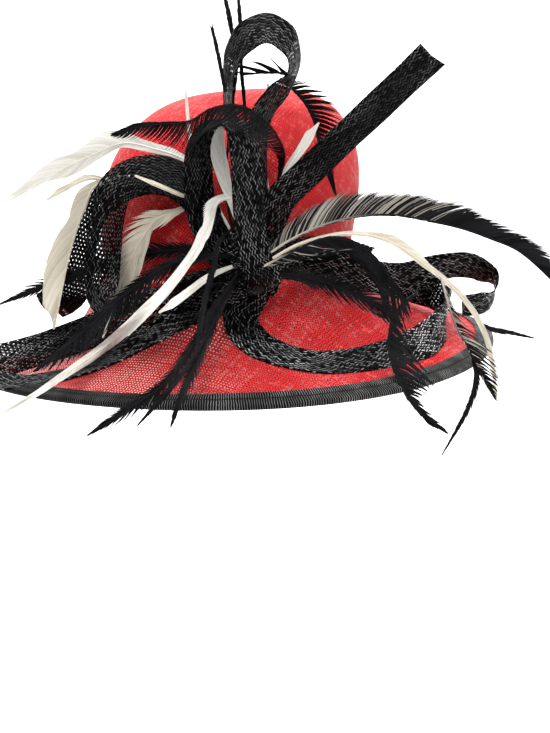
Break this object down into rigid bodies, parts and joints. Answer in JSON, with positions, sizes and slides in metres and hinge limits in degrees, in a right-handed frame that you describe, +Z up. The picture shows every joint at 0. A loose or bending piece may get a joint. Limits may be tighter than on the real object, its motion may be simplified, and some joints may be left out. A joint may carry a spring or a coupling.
{
  "type": "wide-brim hat",
  "caption": "Domed-crown hat with a wide down-sloping brim, ribbon-bound rim, straw-mesh bow and a spray of feathers.",
  "frame": {"origin": "centre of the head opening, where crown and brim meet", "axes": "+Z up through the crown, the bow on the -Y side, +X to the right as seen from the front"},
  "size_m": [0.3985, 0.4188, 0.3079],
  "materials": {
    "red_straw": "woven straw mesh",
    "black_straw": "open woven straw mesh",
    "black_ribbon": "ribbed ribbon",
    "black_feather": "feather",
    "pale_feather": "feather"
  },
  "bodies": {
    "root": {"crown_side": "red_straw", "crown_tip": "red_straw", "brim": "red_straw", "edge_binding": "black_ribbon", "knot": "black_straw", "loop_front": "black_straw", "loop_brim_right": "black_straw", "strip_tail": "black_straw", "loop_top": "black_straw", "loop_left": "black_straw", "loop_left_outer": "black_straw", "loop_brim_left": "black_straw", "loop_right_rear": "black_straw", "strip_short": "black_straw", "feather_arch_black": "black_feather", "feather_white_long": "pale_feather", "feather_white_up": "pale_feather", "feather_white_left": "pale_feather", "feather_cream_side": "pale_feather", "feather_cream_down": "pale_feather", "feather_cream_fan": "pale_feather", "feather_cream_slim": "pale_feather", "feather_black_left": "black_feather", "feather_black_sweep": "black_feather", "feather_white_small": "pale_feather", "feather_drop_strand": "black_feather", "feather_drop_long": "black_feather", "feather_drop_wide": "black_feather", "feather_drop_slim": "black_feather", "feather_right_long": "black_feather", "feather_right_cream": "pale_feather", "feather_right_thin": "pale_feather", "feather_right_black": "black_feather", "feather_right_low": "black_feather", "feather_curl_black": "black_feather", "feather_rim_mixed": "black_feather", "feather_rim_drop": "black_feather", "feather_rim_spike": "black_feather", "feather_crown_black": "black_feather", "feather_crown_white": "pale_feather", "feather_top_black": "black_feather", "feather_top_tuft": "black_feather", "feather_tall_left": "black_feather", "feather_tall_right": "black_feather", "feather_slim_left": "pale_feather", "feather_slim_right": "pale_feather"}
  },
  "joints": []
}
